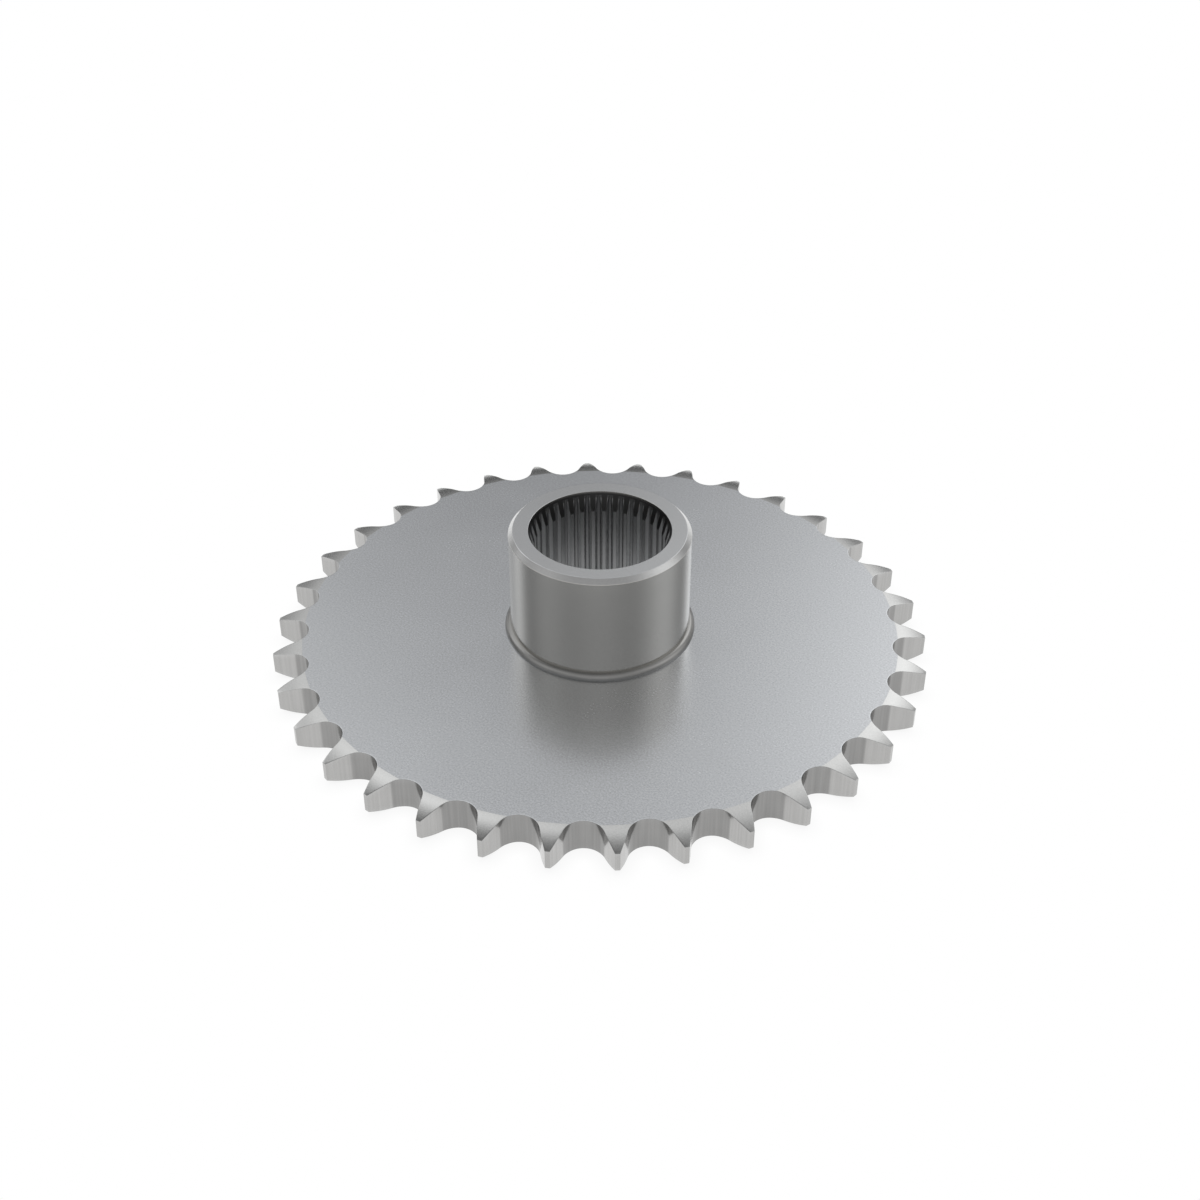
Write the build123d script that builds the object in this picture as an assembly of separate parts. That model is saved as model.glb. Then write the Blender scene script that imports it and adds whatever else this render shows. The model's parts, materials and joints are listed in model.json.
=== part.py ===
from build123d import *
from math import acos, atan2, cos, degrees, pi, radians, sin, sqrt, tan
import os

# Roller chain sprocket with a splined hub.
#
# A toothed plate for half-inch pitch chain is welded to a turned hub. The hub has a
# flat-root involute spline right through it, with a conical lead-in at its open end.
# The hub's spigot fills the plate's bore, its shoulder sits on the plate, and a convex
# weld bead runs round the foot of the hub.
#
# Millimetres, +Z along the hub. The origin is the centre of the flat back face, and
# one tooth and one spline space point along +X.

# Chain and teeth
chain_pitch = 12.7
roller_diameter = 8.51
tooth_count = 34
seat_factor = 0.505         # seat radius over roller diameter
seat_angle = 136.0
flank_radius = 44.5
tip_height = 3.3            # tip circle above the pitch circle
plate_thickness = 7.2
relief_radius = 24.2        # arc that thins both sides of every tooth
relief_slope = 5.0          # at which the arc leaves the face, so its edge there is crisp
relief_depth = 1.45         # how far each side has come in at the tip circle

# Involute spline, 1/32 inch module
spline_teeth = 37
spline_module = 25.4 / 32
spline_pressure_angle = 30.0
spline_tip_depth = 0.5      # modules from the pitch circle in to the rib tips
spline_root_depth = 0.675   # modules from the pitch circle out to the flat roots
lead_in_angle = 15.0        # from the axis, at the open end
back_lead_in_angle = 45.0   # from the axis, at the back face
lead_in_rim = 0.23          # how far both lead-ins open past the roots

# Hub
hub_wall = 4.58             # from the spline roots to the outside diameter
hub_length = 32.0           # back face to end face
hub_chamfer = 1.0
shoulder_width = 2.3        # ring of the hub that sits on the plate
spigot_clearance = 0.02     # round the spigot, in the plate's bore
seam_chamfer = 0.4          # edge breaks at the seam on the back face

# Weld bead
bead_leg = 1.3              # both up the hub and along the plate

# How far a cutter starts or ends outside what it cuts
run_out = 1.0

# Worked out from the sizes above
pitch_radius = chain_pitch / (2 * sin(pi / tooth_count))
root_radius = pitch_radius - roller_diameter / 2
tip_radius = pitch_radius + tip_height
seat_radius = seat_factor * roller_diameter
relief_end_slope = degrees(acos(cos(radians(relief_slope)) - relief_depth / relief_radius))
spline_pitch_radius = spline_module * spline_teeth / 2
spline_base_radius = spline_pitch_radius * cos(radians(spline_pressure_angle))
rib_tip_radius = spline_pitch_radius - spline_tip_depth * spline_module
spline_root_radius = spline_pitch_radius + spline_root_depth * spline_module
lead_in_radius = spline_root_radius + lead_in_rim
hub_radius = spline_root_radius + hub_wall
spigot_radius = hub_radius - shoulder_width
plate_bore_radius = spigot_radius + spigot_clearance


def polar(radius, angle):
    """A point at an angle in radians from the direction of +X."""
    return Vector(radius * cos(angle), radius * sin(angle))


def gap_cutter():
    """One tooth gap, centred on +X: the roller seat and the two flanks, open past the tips."""
    seat_centre = Vector(root_radius + seat_radius, 0)
    half_seat = radians(seat_angle) / 2
    seat_end = seat_centre + Vector(-cos(half_seat), sin(half_seat)) * seat_radius
    # The convex flank leaves the seat tangentially, so its centre lies on the same line.
    flank_centre = seat_end + (seat_end - seat_centre) * (flank_radius / seat_radius)
    outer_radius = tip_radius + run_out
    reach = flank_centre.length
    opening = acos((reach**2 + outer_radius**2 - flank_radius**2) / (2 * reach * outer_radius))
    flank_end = polar(outer_radius, atan2(flank_centre.Y, flank_centre.X) - opening)
    chord_middle = (seat_end + flank_end) / 2
    flank_middle = flank_centre + (chord_middle - flank_centre).normalized() * flank_radius
    flank = ThreePointArc(seat_end, flank_middle, flank_end)
    other_flank = flank.mirror(Plane.XZ)
    seat = ThreePointArc(flank @ 0, (root_radius, 0), other_flank @ 0)
    face = make_face([flank, seat, other_flank, Line(flank @ 1, other_flank @ 1)])
    return extrude(face, plate_thickness)


def relief_point(slope):
    """The place in the plate's section where the arc on its back face has this slope."""
    inwards = relief_radius * (sin(radians(relief_end_slope)) - sin(radians(slope)))
    depth = relief_radius * (cos(radians(relief_slope)) - cos(radians(slope)))
    return Vector(tip_radius - inwards, depth)


def turned_blank():
    """The plate before its teeth are cut: a bored disc, thinned towards its rim on both sides."""
    start = relief_point(relief_slope)
    middle = relief_point((relief_slope + relief_end_slope) / 2)
    rim = relief_point(relief_end_slope)
    relief = ThreePointArc(start, middle, rim)
    front_relief = relief.mirror(Plane.XZ).moved(Pos(Y=plate_thickness))
    seam_corner = Vector(plate_bore_radius + seam_chamfer, 0)
    seam_end = Vector(plate_bore_radius, seam_chamfer)
    bore_end = Vector(plate_bore_radius, plate_thickness)
    section = make_face(
        [
            Line(seam_corner, start),
            relief,
            Line(rim, front_relief @ 1),
            front_relief,
            Line(front_relief @ 0, bore_end),
            Line(bore_end, seam_end),
            Line(seam_end, seam_corner),
        ]
    )
    return revolve(Plane.XZ * section, Axis.Z)


def sprocket_plate():
    """The toothed plate: the turned blank with a gap cut between all neighbouring teeth."""
    step = 360 / tooth_count
    gap = gap_cutter()
    return turned_blank() - [Rot(Z=(index + 0.5) * step) * gap for index in range(tooth_count)]


def involute_angle(radius):
    """The involute function of a point's own pressure angle."""
    pressure_angle = acos(spline_base_radius / radius)
    return tan(pressure_angle) - pressure_angle


def half_space(radius):
    """Half the angle of a spline space at a radius."""
    at_pitch = pi * spline_module / (4 * spline_pitch_radius)
    return at_pitch + involute_angle(spline_pitch_radius) - involute_angle(radius)


def space_cutter():
    """One spline space, centred on +X: its flanks, its floor, and a mouth inside the bore."""
    mouth_radius = rib_tip_radius - run_out / 2
    middle_radius = (mouth_radius + spline_root_radius) / 2
    mouth, middle, root = (half_space(r) for r in (mouth_radius, middle_radius, spline_root_radius))
    flank = ThreePointArc(
        polar(mouth_radius, mouth), polar(middle_radius, middle), polar(spline_root_radius, root)
    )
    other_flank = flank.mirror(Plane.XZ)
    floor = ThreePointArc(flank @ 1, (spline_root_radius, 0), other_flank @ 1)
    face = make_face([flank, floor, other_flank, Line(flank @ 0, other_flank @ 0)])
    return extrude(face, hub_length)


def turned_hub():
    """The hub before broaching: spigot, shoulder, outside, end chamfer, bore and lead-ins."""
    top = hub_length
    lead_in_depth = (lead_in_radius - rib_tip_radius) / tan(radians(lead_in_angle))
    back_depth = (lead_in_radius - rib_tip_radius) / tan(radians(back_lead_in_angle))
    section = make_face(
        Polyline(
            (lead_in_radius, 0),
            (spigot_radius - seam_chamfer, 0),
            (spigot_radius, seam_chamfer),
            (spigot_radius, plate_thickness),
            (hub_radius, plate_thickness),
            (hub_radius, top - hub_chamfer),
            (hub_radius - hub_chamfer, top),
            (lead_in_radius, top),
            (rib_tip_radius, top - lead_in_depth),
            (rib_tip_radius, back_depth),
            close=True,
        )
    )
    return revolve(Plane.XZ * section, Axis.Z)


def splined_hub():
    """The turned hub with the spline spaces broached right through it."""
    step = 360 / spline_teeth
    space = space_cutter()
    return turned_hub() - [Rot(Z=index * step) * space for index in range(spline_teeth)]


def weld_bead():
    """The convex bead in the corner between the hub and the plate."""
    corner = (hub_radius, plate_thickness)
    toe = (hub_radius + bead_leg, plate_thickness)
    crest = (hub_radius + bead_leg * sqrt(0.5), plate_thickness + bead_leg * sqrt(0.5))
    upper_end = (hub_radius, plate_thickness + bead_leg)
    section = make_face(
        [
            Line(corner, toe),
            ThreePointArc(toe, crest, upper_end),
            Line(upper_end, corner),
        ]
    )
    return revolve(Plane.XZ * section, Axis.Z)


os.makedirs("parts", exist_ok=True)
for name, build in (
    ("sprocket_plate", sprocket_plate),
    ("splined_hub", splined_hub),
    ("weld_bead", weld_bead),
):
    export_step(build(), f"parts/{name}.step")
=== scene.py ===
import json
from math import acos, atan2, cos, hypot, inf, pi, radians, sin, tan

import bmesh
import bpy
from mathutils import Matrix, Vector

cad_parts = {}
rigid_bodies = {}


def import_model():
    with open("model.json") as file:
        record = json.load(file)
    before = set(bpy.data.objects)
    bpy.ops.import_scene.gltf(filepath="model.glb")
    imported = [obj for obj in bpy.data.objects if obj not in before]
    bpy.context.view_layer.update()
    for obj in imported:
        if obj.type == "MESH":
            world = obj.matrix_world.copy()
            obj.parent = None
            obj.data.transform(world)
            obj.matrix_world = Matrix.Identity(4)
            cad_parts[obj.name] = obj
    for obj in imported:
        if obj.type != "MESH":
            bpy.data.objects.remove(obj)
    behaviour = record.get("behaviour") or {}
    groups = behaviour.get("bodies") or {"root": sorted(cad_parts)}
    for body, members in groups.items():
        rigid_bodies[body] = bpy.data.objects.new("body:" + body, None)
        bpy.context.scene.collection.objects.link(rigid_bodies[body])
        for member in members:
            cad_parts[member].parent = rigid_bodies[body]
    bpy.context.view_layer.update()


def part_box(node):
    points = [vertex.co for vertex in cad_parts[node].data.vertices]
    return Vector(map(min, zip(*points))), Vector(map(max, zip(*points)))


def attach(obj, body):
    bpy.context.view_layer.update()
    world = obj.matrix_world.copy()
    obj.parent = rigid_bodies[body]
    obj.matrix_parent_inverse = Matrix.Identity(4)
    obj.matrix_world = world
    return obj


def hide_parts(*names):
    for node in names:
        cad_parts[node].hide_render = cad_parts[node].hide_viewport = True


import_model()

mm = 0.001
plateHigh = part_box("sprocket_plate")[1]
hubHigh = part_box("splined_hub")[1]
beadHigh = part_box("weld_bead")[1]
hubRadius = hubHigh.x
faceHeight = plateHigh.z     # the plate's front face
endHeight = hubHigh.z        # the hub's end face
onAxis = (0, 0, 0)
upAxis = (0, 0, 1)
sideAxis = (0, 1, 0)
nearBy = 0.01 * mm           # points this near to a size are taken to be on it
sectorReach = 0.002 * mm     # how far the points of neighbouring sectors may lie apart
doubleReach = 0.001 * mm
edgeFacing = (0.1, 0.9)      # how far up the rounded edges look, from level to straight up
formSteps = 96
print("frame loaded: plate", round(plateHigh.x / mm, 2), "hub", round(hubHigh.x / mm, 2), "mm from the axis")


# modelling helpers: they work on what is selected in a piece's edit mode

def polar(radius, angle, height=0):
    return Vector((radius * cos(angle), radius * sin(angle), height))


def startPiece(name):
    bpy.ops.object.select_all(action="DESELECT")
    bpy.ops.mesh.primitive_plane_add(size=mm)
    piece = bpy.context.object
    piece.name = piece.data.name = name
    bpy.ops.object.mode_set(mode="EDIT")
    bpy.ops.mesh.delete(type="VERT")
    return piece


def addPoint(radius, angle, height):
    bpy.ops.mesh.select_all(action="DESELECT")
    bpy.ops.mesh.primitive_plane_add(size=mm, location=polar(radius, angle, height))
    bpy.ops.mesh.merge(type="CENTER")


def drawArc(angle, centre, steps, axis=upAxis):
    bpy.ops.mesh.spin(steps=steps, angle=-angle, center=centre, axis=axis)   # spin itself turns clockwise


def drawTo(move):
    bpy.ops.mesh.extrude_vertices_move(TRANSFORM_OT_translate={"value": move})


def drawThrough(points):
    for start, end in zip(points, points[1:]):
        drawTo(end - start)


def nameSelected(piece, groupName):
    bpy.ops.object.vertex_group_assign_new()
    piece.vertex_groups.active.name = groupName


def turnAll(angle):
    bpy.ops.mesh.select_all(action="SELECT")
    bpy.ops.transform.rotate(value=angle, orient_axis="Z", center_override=onAxis)   # turns clockwise too


def repeatRound(count):
    bpy.ops.mesh.select_all(action="SELECT")
    bpy.ops.mesh.spin(steps=count, dupli=True, angle=2 * pi, center=onAxis, axis=upAxis)
    bpy.ops.mesh.select_all(action="SELECT")
    bpy.ops.mesh.remove_doubles(threshold=sectorReach)


def selectWhere(piece, test):
    bpy.ops.mesh.select_all(action="DESELECT")
    shape = bmesh.from_edit_mesh(piece.data)
    for vertex in shape.verts:
        vertex.select_set(test(vertex.co))
    shape.select_flush(True)
    bmesh.update_edit_mesh(piece.data)


def selectBand(piece, inner=0, outer=inf, above=-inf, below=inf, side=0):
    # side is -1 or 1 where only the points on one side of the X axis are wanted
    def inBand(place):
        return inner <= hypot(place.x, place.y) < outer and above < place.z < below and place.y * side >= 0

    selectWhere(piece, inBand)


def addGroup(piece, groupName):
    piece.vertex_groups.active = piece.vertex_groups[groupName]
    bpy.ops.object.vertex_group_select()


def selectGroups(piece, *groupNames):
    bpy.ops.mesh.select_all(action="DESELECT")
    for groupName in groupNames:
        addGroup(piece, groupName)


def scaleFlat(share, centre):
    bpy.ops.transform.resize(value=(share, share, 1), center_override=centre)


def scaleTo(piece, radius, height):
    reach = [hypot(v.co.x, v.co.y) for v in bmesh.from_edit_mesh(piece.data).verts if v.select]
    scaleFlat(radius / (sum(reach) / len(reach)), (0, 0, height))


def ringTo(piece, radius, height):
    bpy.ops.transform.tosphere(value=1, center_override=(0, 0, height))
    scaleTo(piece, radius, height)


def liftEdges(rise):
    bpy.ops.mesh.extrude_edges_move(TRANSFORM_OT_translate={"value": (0, 0, rise)})


def turnTo(piece, radius, height, fromHeight):
    liftEdges(height - fromHeight)
    scaleTo(piece, radius, height)


def sweepForm(step):
    turnAll(step)
    drawArc(2 * step, onAxis, formSteps)
    bpy.ops.object.mode_set(mode="OBJECT")


def pressOnto(piece, form, downwards, groupName=""):
    bpy.ops.object.mode_set(mode="OBJECT")
    press = piece.modifiers.new("press", "SHRINKWRAP")
    press.target = form
    press.wrap_method = "PROJECT"
    press.use_project_z = True
    press.use_negative_direction = downwards
    press.use_positive_direction = not downwards
    press.vertex_group = groupName
    bpy.ops.object.modifier_apply(modifier=press.name)
    bpy.data.objects.remove(form)
    bpy.ops.object.mode_set(mode="EDIT")


def breakEdges(piece, sizes, outsideOf):
    bpy.ops.mesh.select_mode(type="EDGE")
    bpy.ops.mesh.select_all(action="DESELECT")
    shape = bmesh.from_edit_mesh(piece.data)
    for edge in shape.edges:
        reach = min(hypot(corner.co.x, corner.co.y) for corner in edge.verts)
        edge.select_set(reach > outsideOf and edge.calc_face_angle() > sizes["cornerAngle"])
    bmesh.update_edit_mesh(piece.data)
    bpy.ops.mesh.bevel(offset=sizes["edgeBreak"], segments=sizes["edgeSteps"], affect="EDGES")
    bpy.ops.mesh.select_mode(type="VERT")


def finishMesh(piece, sizes):
    bpy.ops.mesh.select_all(action="SELECT")
    bpy.ops.mesh.remove_doubles(threshold=doubleReach)
    bpy.ops.mesh.normals_make_consistent(inside=False)
    bpy.ops.object.mode_set(mode="OBJECT")
    piece.vertex_groups.clear()
    bpy.ops.object.shade_smooth_by_angle(angle=sizes["smoothAngle"])
    shading = piece.modifiers.new("shading", "WEIGHTED_NORMAL")   # wide faces stay flat up to their edges
    shading.mode = "FACE_AREA"
    shading.weight = 100
    shading.keep_sharp = True
    bpy.ops.object.modifier_apply(modifier=shading.name)


def noteEdges(piece):
    edge = piece.data.attributes.new("edge", "FLOAT", "POINT")     # 1 on rounded edges, for their wear
    level, steep = edgeFacing
    for face in piece.data.polygons:
        if level < abs(face.normal.z) < steep:
            for corner in face.vertices:
                edge.data[corner].value = 1


# the toothed plate: two faces drawn tooth by tooth, thinned towards the tips, then walled

plateSizes = {
    "teeth": 34,
    "chainPitch": 12.7 * mm,
    "rollerDiameter": 8.51 * mm,
    "seatFactor": 0.505,         # seat radius over roller diameter
    "seatAngle": radians(136),
    "flankRadius": 44.5 * mm,
    "reliefRadius": 24.2 * mm,
    "reliefSlope": radians(5),   # at which the relief leaves the face
    "reliefDepth": 1.45 * mm,    # how far each side has come in at the tips
    "edgeBreak": 0.05 * mm,      # rounding of the teeth's edges
    "boreRadius": 17.52 * mm,
    "seam": 0.4 * mm,            # edge break at the back of the bore
    "faceRings": (60 * mm, 50 * mm, 30 * mm),
    "seatSteps": 14,             # inside the ring where the relief starts
    "seatEndSteps": 4,
    "flankSteps": 6,
    "tipSteps": 1,               # each half of a tip
    "edgeSteps": 3,
    "reliefSteps": 8,
    "wallSteps": 3,
    "lift": 1 * mm,              # how high the line inside the teeth is drawn
    "seatShare": 0.975,          # that line's size at the seats, of the outline's
    "toothShare": 0.85,          # and in the teeth
    "ringReach": 0.6 * mm,       # what comes this near to the ring is moved onto it
    "creaseReach": 0.003 * mm,   # points this near to the ring make its crisp edge
    "formAngle": radians(22),    # more than the relief turns through
    "formArcSteps": 64,
    "smoothAngle": radians(25),
}


def reliefStart(sizes):
    endSlope = acos(cos(sizes["reliefSlope"]) - sizes["reliefDepth"] / sizes["reliefRadius"])
    return plateHigh.x - sizes["reliefRadius"] * (sin(endSlope) - sin(sizes["reliefSlope"]))


def drawTooth(sizes, inset, height):
    halfStep = pi / sizes["teeth"]
    pitchRadius = sizes["chainPitch"] / (2 * sin(halfStep))
    seatRadius = sizes["seatFactor"] * sizes["rollerDiameter"]
    rootRadius = pitchRadius - sizes["rollerDiameter"] / 2
    seatCentre = Vector((rootRadius + seatRadius, 0, height))
    halfSeat = sizes["seatAngle"] / 2
    seatWay = Vector((-cos(halfSeat), sin(halfSeat), 0))
    flankCentre = seatCentre + seatWay * (seatRadius + sizes["flankRadius"])
    otherCentre = Vector((flankCentre.x, -flankCentre.y, height))
    flankRadius = sizes["flankRadius"] - inset
    tipRadius = plateHigh.x - inset
    reach = hypot(flankCentre.x, flankCentre.y)
    opening = acos((reach**2 + tipRadius**2 - flankRadius**2) / (2 * reach * tipRadius))
    tipStart = atan2(flankCentre.y, flankCentre.x) - opening
    tipWay = polar(tipRadius, tipStart, height) - flankCentre
    flankAngle = tipWay.xy.angle(-seatWay.xy)
    wallRadius = seatRadius + inset
    ring = reliefStart(sizes)     # a point of the seat lies just where the relief starts
    ringAngle = acos((seatCentre.x**2 + wallRadius**2 - ring**2) / (2 * seatCentre.x * wallRadius))
    addPoint(tipRadius, -halfStep, height)
    drawArc(halfStep - tipStart, onAxis, sizes["tipSteps"])
    drawArc(flankAngle, otherCentre, sizes["flankSteps"])
    drawArc(ringAngle - halfSeat, seatCentre, sizes["seatEndSteps"])
    drawArc(-2 * ringAngle, seatCentre, sizes["seatSteps"])
    drawArc(ringAngle - halfSeat, seatCentre, sizes["seatEndSteps"])
    drawArc(flankAngle, flankCentre, sizes["flankSteps"])
    drawArc(halfStep - tipStart, onAxis, sizes["tipSteps"])
    bpy.ops.mesh.select_linked()


def reliefForm(sizes):
    radius, slope, start = sizes["reliefRadius"], sizes["reliefSlope"], reliefStart(sizes)
    form = startPiece("reliefForm")
    inside = sizes["boreRadius"] / 2
    arcCentre = (start - radius * sin(slope), 0, faceHeight - radius * cos(slope))
    addPoint(inside, 0, faceHeight)
    drawTo((start - inside, 0, 0))
    drawArc(sizes["formAngle"], arcCentre, sizes["formArcSteps"], axis=sideAxis)
    sweepForm(2 * pi / sizes["teeth"])
    return form


def drawFace(plate, sizes):
    ring = reliefStart(sizes)
    lifted = faceHeight + sizes["lift"]     # so that this line is found again, until it is pressed down
    drawTooth(sizes, sizes["edgeBreak"], lifted)
    selectBand(plate, outer=ring - nearBy)
    scaleFlat(sizes["seatShare"], (0, 0, lifted))
    halfStep = pi / sizes["teeth"]
    for side in (-1, 1):
        selectBand(plate, inner=ring - nearBy, side=side)
        scaleFlat(sizes["toothShare"], polar(ring, side * halfStep, lifted))
    selectBand(plate, inner=ring - sizes["ringReach"])
    ringTo(plate, ring, lifted)
    bpy.ops.mesh.select_all(action="SELECT")
    liftEdges(-sizes["lift"])
    firstRing, *otherRings = sizes["faceRings"]
    ringTo(plate, firstRing, faceHeight)
    for radius in (*otherRings, sizes["boreRadius"] + sizes["seam"]):
        turnTo(plate, radius, faceHeight, faceHeight)


def drawEdges(plate, sizes):
    edgeNames = []
    for step in range(sizes["edgeSteps"], -1, -1):
        turn = step / sizes["edgeSteps"] * pi / 2
        drawTooth(sizes, sizes["edgeBreak"] * (1 - cos(turn)), faceHeight)
        edgeNames.append(f"edge{step}")
        nameSelected(plate, edgeNames[-1])
    for nearName, farName in zip(edgeNames, edgeNames[1:]):
        selectGroups(plate, nearName, farName)
        bpy.ops.mesh.bridge_edge_loops()
    selectBand(plate, above=faceHeight + sizes["lift"] / 2)
    addGroup(plate, edgeNames[0])
    bpy.ops.mesh.bridge_edge_loops(number_cuts=sizes["reliefSteps"], interpolation="LINEAR")


def lowerEdges(plate, sizes):
    for step in range(sizes["edgeSteps"]):
        turn = step / sizes["edgeSteps"] * pi / 2
        selectGroups(plate, f"edge{step}")
        bpy.ops.transform.translate(value=(0, 0, sizes["edgeBreak"] * (sin(turn) - 1)))


def wallSector(plate, sizes):
    bpy.ops.mesh.select_all(action="SELECT")
    bpy.ops.mesh.duplicate()
    bpy.ops.transform.resize(value=(1, 1, -1), center_override=(0, 0, faceHeight / 2))
    selectGroups(plate, "edge0")
    bpy.ops.mesh.bridge_edge_loops(number_cuts=sizes["wallSteps"], interpolation="LINEAR")
    seamRadius = sizes["boreRadius"] + sizes["seam"]
    selectBand(plate, outer=seamRadius + nearBy, above=faceHeight / 2)
    turnTo(plate, sizes["boreRadius"], faceHeight, faceHeight)
    selectBand(plate, outer=seamRadius + nearBy, below=faceHeight / 2)
    turnTo(plate, sizes["boreRadius"], sizes["seam"], 0)
    selectBand(plate, outer=sizes["boreRadius"] + nearBy)
    bpy.ops.mesh.bridge_edge_loops()


def makePlate(sizes):
    form = reliefForm(sizes)
    plate = startPiece("toothedPlate")
    drawFace(plate, sizes)
    drawEdges(plate, sizes)
    pressOnto(plate, form, True)
    lowerEdges(plate, sizes)
    wallSector(plate, sizes)
    turnAll(pi / sizes["teeth"])
    repeatRound(sizes["teeth"])
    ring, reach = reliefStart(sizes), sizes["creaseReach"]
    for height in (0, faceHeight):
        selectBand(plate, ring - reach, ring + reach, height - reach, height + reach)
        bpy.ops.mesh.mark_sharp()
    finishMesh(plate, sizes)
    noteEdges(plate)
    return plate


plate = makePlate(plateSizes)
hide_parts("sprocket_plate")
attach(plate, "root")
print("toothed plate:", len(plate.data.polygons), "faces")


# the hub: one spline space is drawn, walled and carried round the outside as one sector

hubSizes = {
    "splineTeeth": 37,
    "module": 25.4 / 32 * mm,
    "pressureAngle": radians(30),
    "ribDepth": 0.5,             # modules from the pitch circle in to the rib tips
    "rootDepth": 0.675,          # and out to the roots
    "rootRounding": 0.13 * mm,
    "ribRounding": 0.05 * mm,
    "leadInRim": 0.23 * mm,      # how far the lead-ins open past the roots
    "leadInAngle": radians(15),
    "backAngle": radians(45),
    "chamfer": 1.0 * mm,
    "spigotRadius": 17.5 * mm,
    "seam": 0.4 * mm,
    "edgeBreak": 0.05 * mm,
    "cornerAngle": radians(30),  # edges sharper than this are broken
    "edgeSteps": 2,
    "flankSteps": 4,
    "landSteps": 2,
    "rootSteps": 6,
    "ribSteps": 3,
    "lastRing": 2 * mm,          # how far above the bead the wall has a ring
    "wait": 5 * mm,              # the spline's lines are drawn this far outside the hub
    "formReach": 1 * mm,         # how far a lead-in's form passes its rim
    "formWidth": 3 * mm,         # and how wide it is
    "smoothAngle": radians(12),
}


def splineRadii(sizes):
    pitch = sizes["module"] * sizes["splineTeeth"] / 2
    rib = pitch - sizes["ribDepth"] * sizes["module"]
    root = pitch + sizes["rootDepth"] * sizes["module"]
    return {"pitch": pitch, "rib": rib, "root": root, "rim": root + sizes["leadInRim"]}


def halfSpace(sizes, radius):
    pitchRadius = splineRadii(sizes)["pitch"]
    baseRadius = pitchRadius * cos(sizes["pressureAngle"])
    atPitch, here = [tan(acos(baseRadius / r)) - acos(baseRadius / r) for r in (pitchRadius, radius)]
    return pi / 2 / sizes["splineTeeth"] + atPitch - here


def drawSpace(sizes, height):
    radii = splineRadii(sizes)
    halfStep = pi / sizes["splineTeeth"]
    steps = sizes["flankSteps"]
    climb = [radii["rib"] + (radii["root"] - radii["rib"]) * step / steps for step in range(steps + 1)]
    land = halfStep - halfSpace(sizes, radii["rib"])
    addPoint(radii["rib"], -halfStep, height)
    drawArc(land, onAxis, sizes["landSteps"])
    drawThrough([polar(radius, -halfSpace(sizes, radius)) for radius in climb])
    drawArc(2 * halfSpace(sizes, radii["root"]), onAxis, sizes["landSteps"])
    drawThrough([polar(radius, halfSpace(sizes, radius)) for radius in reversed(climb)])
    drawArc(land, onAxis, sizes["landSteps"])


def roundCorners(piece, sizes):
    for corner in ("root", "rib"):
        cornerRadius = splineRadii(sizes)[corner]
        cornerAngle = halfSpace(sizes, cornerRadius)

        def atCorner(place):
            offCorner = abs(abs(atan2(place.y, place.x)) - cornerAngle) * cornerRadius
            return abs(hypot(place.x, place.y) - cornerRadius) < doubleReach and offCorner < doubleReach

        selectWhere(piece, atCorner)
        rounding, steps = sizes[corner + "Rounding"], sizes[corner + "Steps"]
        bpy.ops.mesh.bevel(offset=rounding, segments=steps, affect="VERTICES")


def leadInForm(sizes, angle, height, way):
    reach, width = sizes["formReach"], sizes["formWidth"]
    form = startPiece("leadInForm")
    addPoint(splineRadii(sizes)["rim"] + reach, 0, height + way * reach / tan(angle))
    drawTo((-width, 0, -way * width / tan(angle)))
    sweepForm(2 * pi / sizes["splineTeeth"])
    return form


def drawSpline(hub, sizes, frontForm, backForm):
    above, below = endHeight + sizes["wait"], -sizes["wait"]
    drawSpace(sizes, above)
    roundCorners(hub, sizes)
    bpy.ops.mesh.select_all(action="SELECT")
    nameSelected(hub, "front")
    bpy.ops.mesh.duplicate()
    bpy.ops.object.vertex_group_remove_from()
    nameSelected(hub, "back")
    bpy.ops.transform.translate(value=(0, 0, below - above))
    pressOnto(hub, frontForm, True, "front")
    pressOnto(hub, backForm, False, "back")
    selectGroups(hub, "front", "back")
    bpy.ops.mesh.bridge_edge_loops()


def carryRound(hub, sizes):
    rimRadius = splineRadii(sizes)["rim"]
    spigot, seam, chamfer = sizes["spigotRadius"], sizes["seam"], sizes["chamfer"]
    outside = [
        (rimRadius, endHeight),
        (hubRadius - chamfer, endHeight),
        (hubRadius, endHeight - chamfer),
        (hubRadius, beadHigh.z + sizes["lastRing"]),
        (hubRadius, faceHeight),
        (spigot, faceHeight),
        (spigot, seam),
        (spigot - seam, 0),
        (rimRadius, 0),
    ]
    selectBand(hub, above=endHeight / 2)
    liftEdges(0)
    bpy.ops.transform.resize(value=(1, 1, 0), center_override=(0, 0, endHeight))
    ringTo(hub, *outside[0])
    for (_, height), (nextRadius, nextHeight) in zip(outside, outside[1:]):
        turnTo(hub, nextRadius, nextHeight, height)
    selectBand(hub, inner=rimRadius - nearBy, outer=rimRadius + nearBy, below=nearBy)
    addGroup(hub, "back")
    bpy.ops.mesh.bridge_edge_loops()


def makeHub(sizes):
    frontForm = leadInForm(sizes, sizes["leadInAngle"], endHeight, 1)
    backForm = leadInForm(sizes, sizes["backAngle"], 0, -1)
    hub = startPiece("splinedHub")
    drawSpline(hub, sizes, frontForm, backForm)
    carryRound(hub, sizes)
    repeatRound(sizes["splineTeeth"])
    bpy.ops.mesh.normals_make_consistent(inside=False)
    breakEdges(hub, sizes, splineRadii(sizes)["rim"] - nearBy)
    finishMesh(hub, sizes)
    return hub


hub = makeHub(hubSizes)
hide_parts("splined_hub")
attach(hub, "root")
print("splined hub:", len(hub.data.polygons), "faces")


# the weld bead: its section is drawn once and turned round the hub

beadSizes = {
    "arcSteps": 12,
    "sectors": 24,
    "sectorSteps": 16,
    "smoothAngle": radians(40),
}


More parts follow.
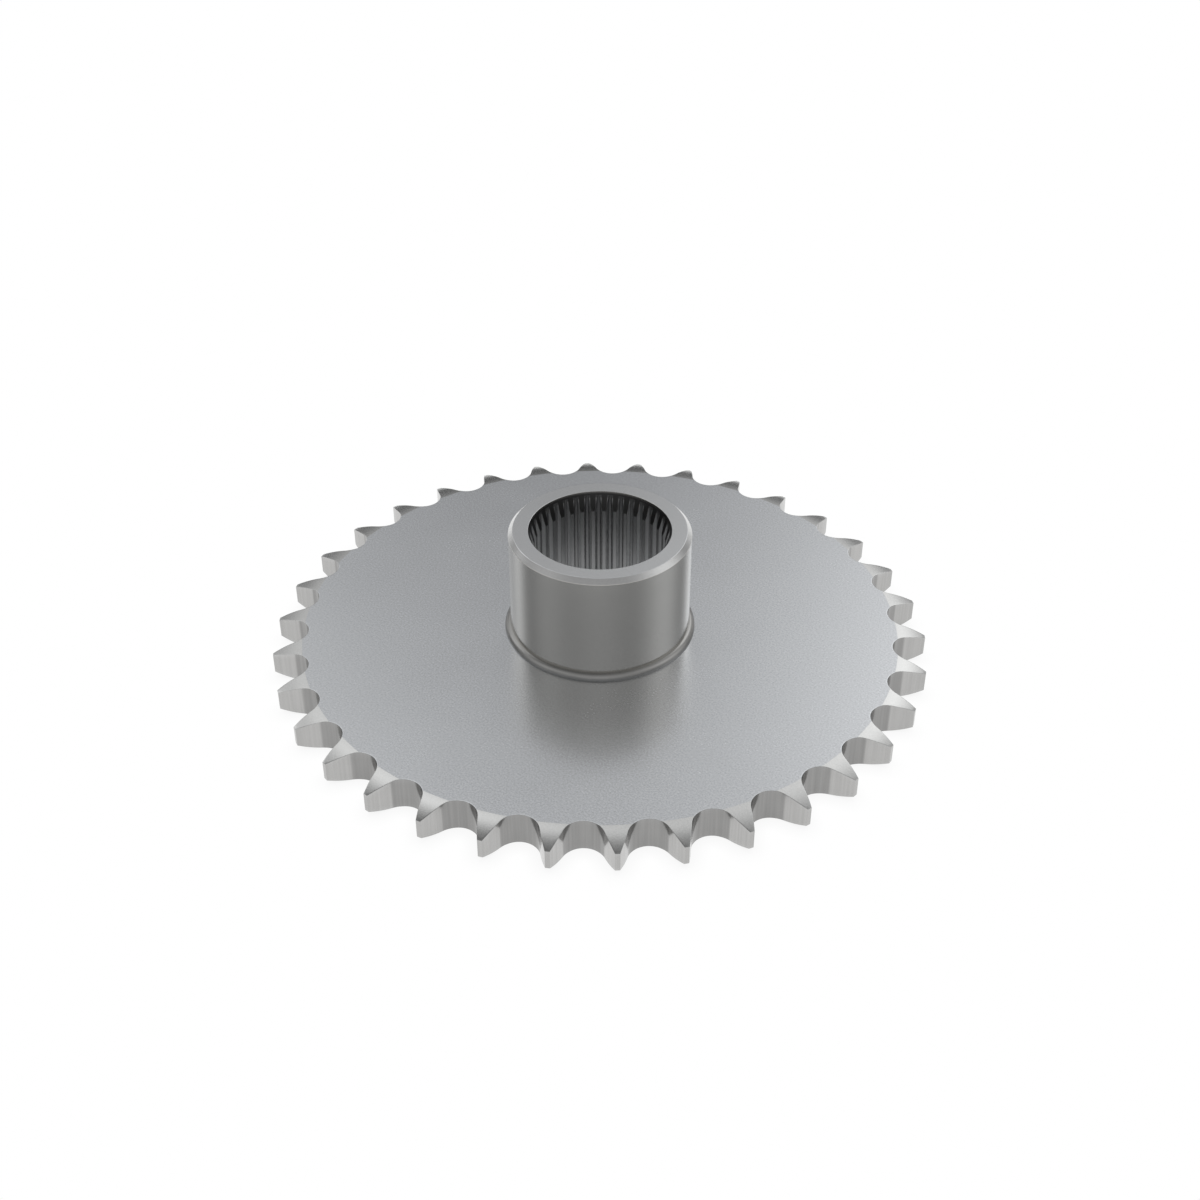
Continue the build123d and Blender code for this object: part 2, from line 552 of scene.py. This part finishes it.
def makeBead(sizes):
    bead = startPiece("weldBead")
    leg = beadHigh.z - faceHeight
    addPoint(hubRadius + leg, 0, faceHeight)
    drawArc(-pi / 2, (hubRadius, 0, faceHeight), sizes["arcSteps"], axis=sideAxis)
    drawTo((0, 0, -leg))
    bpy.ops.mesh.select_all(action="SELECT")
    bpy.ops.mesh.edge_face_add()
    bpy.ops.mesh.delete(type="ONLY_FACE")
    bpy.ops.mesh.select_all(action="SELECT")
    drawArc(2 * pi / sizes["sectors"], onAxis, sizes["sectorSteps"])
    repeatRound(sizes["sectors"])
    finishMesh(bead, sizes)
    return bead


bead = makeBead(beadSizes)
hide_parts("weld_bead")
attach(bead, "root")
print("weld bead:", len(bead.data.polygons), "faces")


# shader maths is written with plain Python signs, through these two classes

class Wire:
    def __init__(self, board, socket):
        self.board, self.socket = board, socket

    def __add__(self, other):
        return self.board.maths("ADD", self, other)

    def __sub__(self, other):
        return self.board.maths("SUBTRACT", self, other)

    def __rsub__(self, other):
        return self.board.maths("SUBTRACT", other, self)

    def __mul__(self, other):
        return self.board.maths("MULTIPLY", self, other)

    def __pow__(self, other):
        return self.board.maths("POWER", self, other)

    def swing(self, amount):
        return (self - 0.5) * amount     # a noise is 0.5 in the middle

    __radd__, __rmul__ = __add__, __mul__


class Board:
    def __init__(self, owner):
        owner.use_nodes = True
        self.tree = owner.node_tree
        self.tree.nodes.clear()

    def add(self, kind, settings=None, inputs=None, output=0):
        node = self.tree.nodes.new("ShaderNode" + kind)
        for name, value in (settings or {}).items():
            setattr(node, name, value)
        for name, value in (inputs or {}).items():
            if isinstance(value, Wire):
                self.tree.links.new(value.socket, node.inputs[name])
            else:
                node.inputs[name].default_value = value
        return Wire(self, node.outputs[output]) if node.outputs else node

    def maths(self, operation, *values):
        return self.add("Math", {"operation": operation}, dict(enumerate(values)))

    def scaled(self, vector, scale):
        return self.add("VectorMath", {"operation": "SCALE"}, {0: vector, "Scale": scale})

    def blend(self, share, first, second):
        colours = {6: first, 7: second}     # these sockets come after those for numbers and vectors
        return self.add("Mix", {"data_type": "RGBA"}, {0: share, **colours}, 2)

    def between(self, value, low, high):
        return self.add("MapRange", {"interpolation_type": "SMOOTHSTEP"}, {0: value, 1: low, 2: high})

    def past(self, value, limit, blur):
        return self.between(value, limit + blur[0], limit + blur[1])

    def near(self, distance, blur):
        return 1 - self.between(self.maths("ABSOLUTE", distance), *blur)

    def noise(self, place, size, detail):
        return self.add("TexNoise", {}, {"Vector": place, "Scale": 1 / size, "Detail": detail})

    def streaks(self, place, slimness, size, detail):
        drawnOut = self.add("Mapping", {}, {"Vector": place, "Scale": (1, 1, slimness)})
        return self.noise(drawnOut, size, detail)

    def split(self, vector):
        outputs = self.add("SeparateXYZ", {}, {0: vector}).socket.node.outputs
        return [Wire(self, socket) for socket in outputs]


# steels: satin, a little cloudy, with a fine grain; each surface adds its own tool marks, and some surfaces
# get painted light and shade in their tints
# a noise is given as its size and detail, and streaks along the axis as width over length, width and detail
# a blur is where a change of finish or of painted shade starts and ends, counted from the size that it
# belongs to

def steelBoard(name):
    material = bpy.data.materials.new(name)
    board = Board(material)
    place = board.add("TexCoord", output="Object")
    upwards = board.split(board.add("TexCoord", output="Normal"))[2]
    x, y, height = board.split(place)
    radius = (x * x + y * y) ** 0.5
    facing = board.maths("ABSOLUTE", upwards)
    where = {"place": place, "x": x, "y": y, "height": height, "radius": radius, "facing": facing}
    return material, board, where


def finishSteel(board, look, tint, roughness, bumps):
    relief = {"Strength": look["bumpStrength"], "Distance": look["bumpDepth"], "Height": bumps}
    bump = board.add("Bump", {}, relief)
    surface = {"Base Color": tint, "Metallic": 1.0, "Roughness": roughness, "Normal": bump}
    shader = board.add("BsdfPrincipled", {}, surface)
    board.add("OutputMaterial", {}, {"Surface": shader})


plateLook = {
    "tint": (0.568, 0.583, 0.602, 1),
    # the relief's more neutral tint is a painted reflection, and the walls' darker, warmer tint is painted
    # shade of the dim floor they reflect
    "reliefReflectionTint": (0.575, 0.578, 0.573, 1),
    "wallShadeTint": (0.44, 0.437, 0.43, 1),
    "wornTint": (0.66, 0.665, 0.67, 1),
    "roughness": 0.25,
    "wallRoughness": 0.15,
    "grain": (0.4 * mm, 3),
    "cloud": (17 * mm, 4),
    "streak": (0.03, 0.6 * mm, 2),
    "wallFacing": (0.25, 0.7),   # walls face less upwards than this
    "reliefBlur": (-0.13 * mm, 0.07 * mm),
    "seatEnd": 67.3 * mm,        # the seats, inside this radius, get a painted shade: a little darker, as hollows between the teeth
    "seatBlur": (-0.3 * mm, 0.3 * mm),
    "seatPaintedShade": 0.32,
    "grainTone": 0.6,
    "smoother": 0.6,             # how much less grain the relief has
    "cloudTone": 0.08,
    "streakTone": 0.25,
    "grainGloss": 0.06,
    "cloudGloss": 0.08,
    "streakBump": 0.6,
    "worn": 0.2,
    "wornCloud": (0.35, 0.65),   # edges are worn where the cloud is thicker than this
    "bumpStrength": 0.2,
    "bumpDepth": 0.03 * mm,
}


def makePlateSteel(look, sizes):
    material, board, where = steelBoard("plateSteel")
    place, radius = where["place"], where["radius"]
    grain = board.noise(place, *look["grain"])
    cloud = board.noise(place, *look["cloud"])
    streak = board.streaks(place, *look["streak"])
    wall = 1 - board.between(where["facing"], *look["wallFacing"])
    relief = board.past(radius, reliefStart(sizes), look["reliefBlur"]) * (1 - wall)
    seatShade = (1 - board.past(radius, look["seatEnd"], look["seatBlur"])) * wall
    edge = board.add("Attribute", {"attribute_name": "edge"}, output="Fac")
    worn = edge ** 2 * board.between(cloud, *look["wornCloud"]) * look["worn"]
    tone = 1 + grain.swing(look["grainTone"]) * (1 - wall - relief * look["smoother"])
    tone = tone + cloud.swing(look["cloudTone"])
    # the seats are darkened here: painted shade of the hollows between the teeth
    tone = tone + streak.swing(look["streakTone"]) * wall - look["seatPaintedShade"] * seatShade
    # the relief and the walls get other tints of the same steel: painted reflection and painted shade
    tint = board.blend(relief, look["tint"], look["reliefReflectionTint"])
    tint = board.blend(worn, board.blend(wall, tint, look["wallShadeTint"]), look["wornTint"])
    roughness = look["roughness"] + (look["wallRoughness"] - look["roughness"]) * wall
    roughness = roughness + cloud.swing(look["cloudGloss"]) + grain.swing(look["grainGloss"])
    bumps = grain * (1 - wall) + streak * wall * look["streakBump"]
    finishSteel(board, look, board.scaled(tint, tone), roughness, bumps)
    return material


hubLook = {
    # the outside wall's warm tint is a painted reflection of the plate; the end face's lighter, bluish tint
    # is painted light from above
    "tint": (0.598, 0.585, 0.556, 1),
    "endLitTint": (0.63, 0.64, 0.65, 1),
    # painted shade in the bore: the roots and rib tips are dark, and the lead-in faces beside the grooves
    # nearly black
    "flankTint": (0.55, 0.555, 0.56, 1),
    "rootShadeTint": (0.19, 0.193, 0.196, 1),
    "ribShadeTint": (0.23, 0.233, 0.236, 1),
    "leadInShadeTint": (0.1, 0.1, 0.1, 1),
    "wornTint": (0.66, 0.665, 0.66, 1),
    "roughness": 0.18,
    "boreRoughness": 0.34,
    "grain": (0.45 * mm, 3),
    "cloud": (12 * mm, 4),
    "turning": (0.16 * mm, 2),
    "broaching": (0.02, 0.25 * mm, 2),
    "halfGroove": 0.65 * mm,     # as wide as half a groove looks in the lead-in
    "grooveBlur": (-0.05 * mm, 0.05 * mm),
    "boreBlur": (-0.15 * mm, 0.05 * mm),
    "leadInBlur": (0.02 * mm, 0.08 * mm),
    "ribBlur": (0.05 * mm, 0.12 * mm),
    "rootBlur": (-0.2 * mm, -0.1 * mm),
    "floorBlur": (-0.02 * mm, 0.02 * mm),
    "chamferBlur": (0.02 * mm, 0.3 * mm),
    "endLitFacing": (0.3, 0.95),
    "grainTone": 0.15,
    "cloudTone": 0.07,
    "marksTone": 0.06,
    "cloudGloss": 0.06,
    "marksGloss": 0.05,
    "grainBump": 0.3,
    "worn": 0.12,
    "wornCloud": (0.4, 0.7),
    "bumpStrength": 0.25,
    "bumpDepth": 0.02 * mm,
}


# the bore's tints are painted shade: dark roots and rib tips, and nearly black wedges on the lead-in faces
# beside the grooves
def boreShadeTint(board, where, bore, look, sizes):
    radii, radius = splineRadii(sizes), where["radius"]
    angle = board.maths("ARCTAN2", where["y"], where["x"])
    fromGroove = board.maths("PINGPONG", angle, pi / sizes["splineTeeth"]) * radius
    besideGroove = board.past(fromGroove, look["halfGroove"], look["grooveBlur"])
    grooveFloor = board.past(radius, radii["root"], look["floorBlur"])
    cone = radii["rim"] - (endHeight - where["height"]) * tan(sizes["leadInAngle"])
    leadIn = board.near(radius - cone, look["leadInBlur"])
    paintedWedge = board.maths("MAXIMUM", besideGroove, grooveFloor) * leadIn * bore
    rib = 1 - board.past(radius, radii["rib"], look["ribBlur"])
    root = board.past(radius, radii["root"], look["rootBlur"])
    tint = board.blend(root, board.blend(rib, look["flankTint"], look["ribShadeTint"]), look["rootShadeTint"])
    return board.blend(paintedWedge, tint, look["leadInShadeTint"])


def makeHubSteel(look, sizes):
    material, board, where = steelBoard("hubSteel")
    place, radius, height = where["place"], where["radius"], where["height"]
    grain = board.noise(place, *look["grain"])
    cloud = board.noise(place, *look["cloud"])
    bore = 1 - board.past(radius, splineRadii(sizes)["rim"], look["boreBlur"])
    turned = board.noise(board.add("CombineXYZ", {}, {0: radius, 2: height}), *look["turning"])
    broached = board.streaks(place, *look["broaching"])
    marks = turned + (broached - turned) * bore
    chamfer = board.near(radius + height - (hubRadius + endHeight - sizes["chamfer"]), look["chamferBlur"])
    worn = chamfer * board.between(cloud, *look["wornCloud"]) * look["worn"]
    # painted light: faces turned upwards get the lighter, bluish end tint, the wall keeps its warm painted
    # reflection
    tint = board.blend(board.between(where["facing"], *look["endLitFacing"]), look["tint"], look["endLitTint"])
    tint = board.blend(worn, tint, look["wornTint"])
    # the bore takes its painted shade
    tint = board.blend(bore, tint, boreShadeTint(board, where, bore, look, sizes))
    tone = 1 + cloud.swing(look["cloudTone"]) + marks.swing(look["marksTone"])
    tone = tone + grain.swing(look["grainTone"])
    roughness = look["roughness"] + (look["boreRoughness"] - look["roughness"]) * bore
    roughness = roughness + cloud.swing(look["cloudGloss"]) + marks.swing(look["marksGloss"])
    finishSteel(board, look, board.scaled(tint, tone), roughness, marks + grain * look["grainBump"])
    return material


beadLook = {
    "tint": (0.37, 0.368, 0.36),
    "roughness": 0.3,
    "grain": (0.35 * mm, 2),
    "cloud": (5 * mm, 4),
    "cloudTone": 0.25,
    "cloudGloss": 0.12,
    "grainGloss": 0.05,
    "grainBump": 0.4,
    "cloudBump": 0.6,
    "bumpStrength": 0.4,
    "bumpDepth": 0.05 * mm,
}


def makeWeldSteel(look):
    material, board, where = steelBoard("weldSteel")
    grain = board.noise(where["place"], *look["grain"])
    cloud = board.noise(where["place"], *look["cloud"])
    tint = board.scaled(look["tint"], 1 + cloud.swing(look["cloudTone"]))
    roughness = look["roughness"] + cloud.swing(look["cloudGloss"]) + grain.swing(look["grainGloss"])
    finishSteel(board, look, tint, roughness, grain * look["grainBump"] + cloud * look["cloudBump"])
    return material


def dress(piece, material):
    piece.data.materials.clear()
    piece.data.materials.append(material)


dress(plate, makePlateSteel(plateLook, plateSizes))
dress(hub, makeHubSteel(hubLook, hubSizes))
dress(bead, makeWeldSteel(beadLook))
print("steels made")


# floor, light and camera

studioSizes = {
    "floor": 20.0,
    "floorGap": 0.01 * mm,       # under the part, so the floor and the back face don't share a plane
    "floorLight": 1.0,
    "allRound": 0.08,            # light from everywhere
    "shade": 0.88,               # the floor's light where the part is all round it
    "shadeReach": 4 * mm,        # how far the part shades the floor
    "shadeSamples": 8,
    "lens": 50,
    "sensor": 36,
    "nearest": 10 * mm,          # that the camera sees
    "distance": 373.63 * mm,
    "aimElevation": radians(36.482),
    "tilt": radians(35.264),
    "heading": radians(45),
}

# soft lights: heading from the camera's side and height in degrees, strength, and how narrow
softLights = {
    "broad front": (0, 25, 0.5, 3),
    "right panel": (90, 30, 0.85, 8),
    "left panel": (-75, 25, 0.5, 8),
    "left edge strip": (-125, 32, 1.3, 40),
    "right back panel": (155, 36, 1.65, 30),
    "left back panel": (-158, 37, 0.78, 30),
    "high back left": (-155, 54, 1.1, 60),
    "high back": (180, 62, 0.62, 60),
    "high back right": (145, 58, 0.5, 40),
    "low back left": (-140, 2, 0.6, 30),
    "low back right": (140, 2, 0.6, 30),
}


def makeFloor(sizes):
    bpy.ops.object.select_all(action="DESELECT")
    bpy.ops.mesh.primitive_plane_add(size=sizes["floor"], location=(0, 0, -sizes["floorGap"]))
    floor = bpy.context.object
    floor.name = "floor"
    material = bpy.data.materials.new("paleFloor")
    board = Board(material)
    shading = {"samples": sizes["shadeSamples"]}
    clear = board.add("AmbientOcclusion", shading, {"Distance": sizes["shadeReach"]}, "AO")
    light = sizes["floorLight"] * (sizes["shade"] + (1 - sizes["shade"]) * clear)
    top = board.add("Emission", {}, {"Color": board.scaled((1, 1, 1), light)})
    # from below the floor is clear, so the back of the part can be looked at
    below = board.add("NewGeometry", output="Backfacing")
    surface = board.add("MixShader", {}, {0: below, 1: top, 2: board.add("BsdfTransparent")})
    board.add("OutputMaterial", {}, {"Surface": surface})
    dress(floor, material)


def makeCamera(sizes):
    heading, rise = sizes["heading"], sizes["aimElevation"]
    back = Vector((cos(rise) * sin(heading), -cos(rise) * cos(heading), sin(rise)))
    aim = Vector((0, 0, faceHeight / 2))
    turned = (pi / 2 - sizes["tilt"], 0, heading)
    bpy.ops.object.camera_add(location=aim + back * sizes["distance"], rotation=turned)
    camera = bpy.context.object
    camera.data.lens = sizes["lens"]
    camera.data.sensor_width = sizes["sensor"]
    camera.data.clip_start = sizes["nearest"]
    bpy.context.scene.camera = camera


def makeLight(sizes, lights):
    world = bpy.data.worlds.new("studio")
    bpy.context.scene.world = world
    board = Board(world)
    way = board.add("TexCoord", output="Generated")
    total = sizes["allRound"]
    for heading, height, strength, narrowness in lights.values():
        turn, rise = sizes["heading"] - pi / 2 + radians(heading), radians(height)
        axis = (cos(rise) * cos(turn), cos(rise) * sin(turn), sin(rise))
        near = board.add("VectorMath", {"operation": "DOT_PRODUCT"}, {0: way, 1: axis}, "Value")
        total = board.maths("EXPONENT", (near - 1) * narrowness) * strength + total
    # the picture shows the sky as pale as the floor
    seen = board.add("LightPath", output="Is Camera Ray")
    total = total + (sizes["floorLight"] - total) * seen
    sky = board.add("Background", {}, {"Color": board.scaled((1, 1, 1), total)})
    board.add("OutputWorld", {}, {"Surface": sky})


makeFloor(studioSizes)
makeCamera(studioSizes)
makeLight(studioSizes, softLights)
bpy.context.scene.view_settings.view_transform = "Standard"
print("floor, light and camera made")
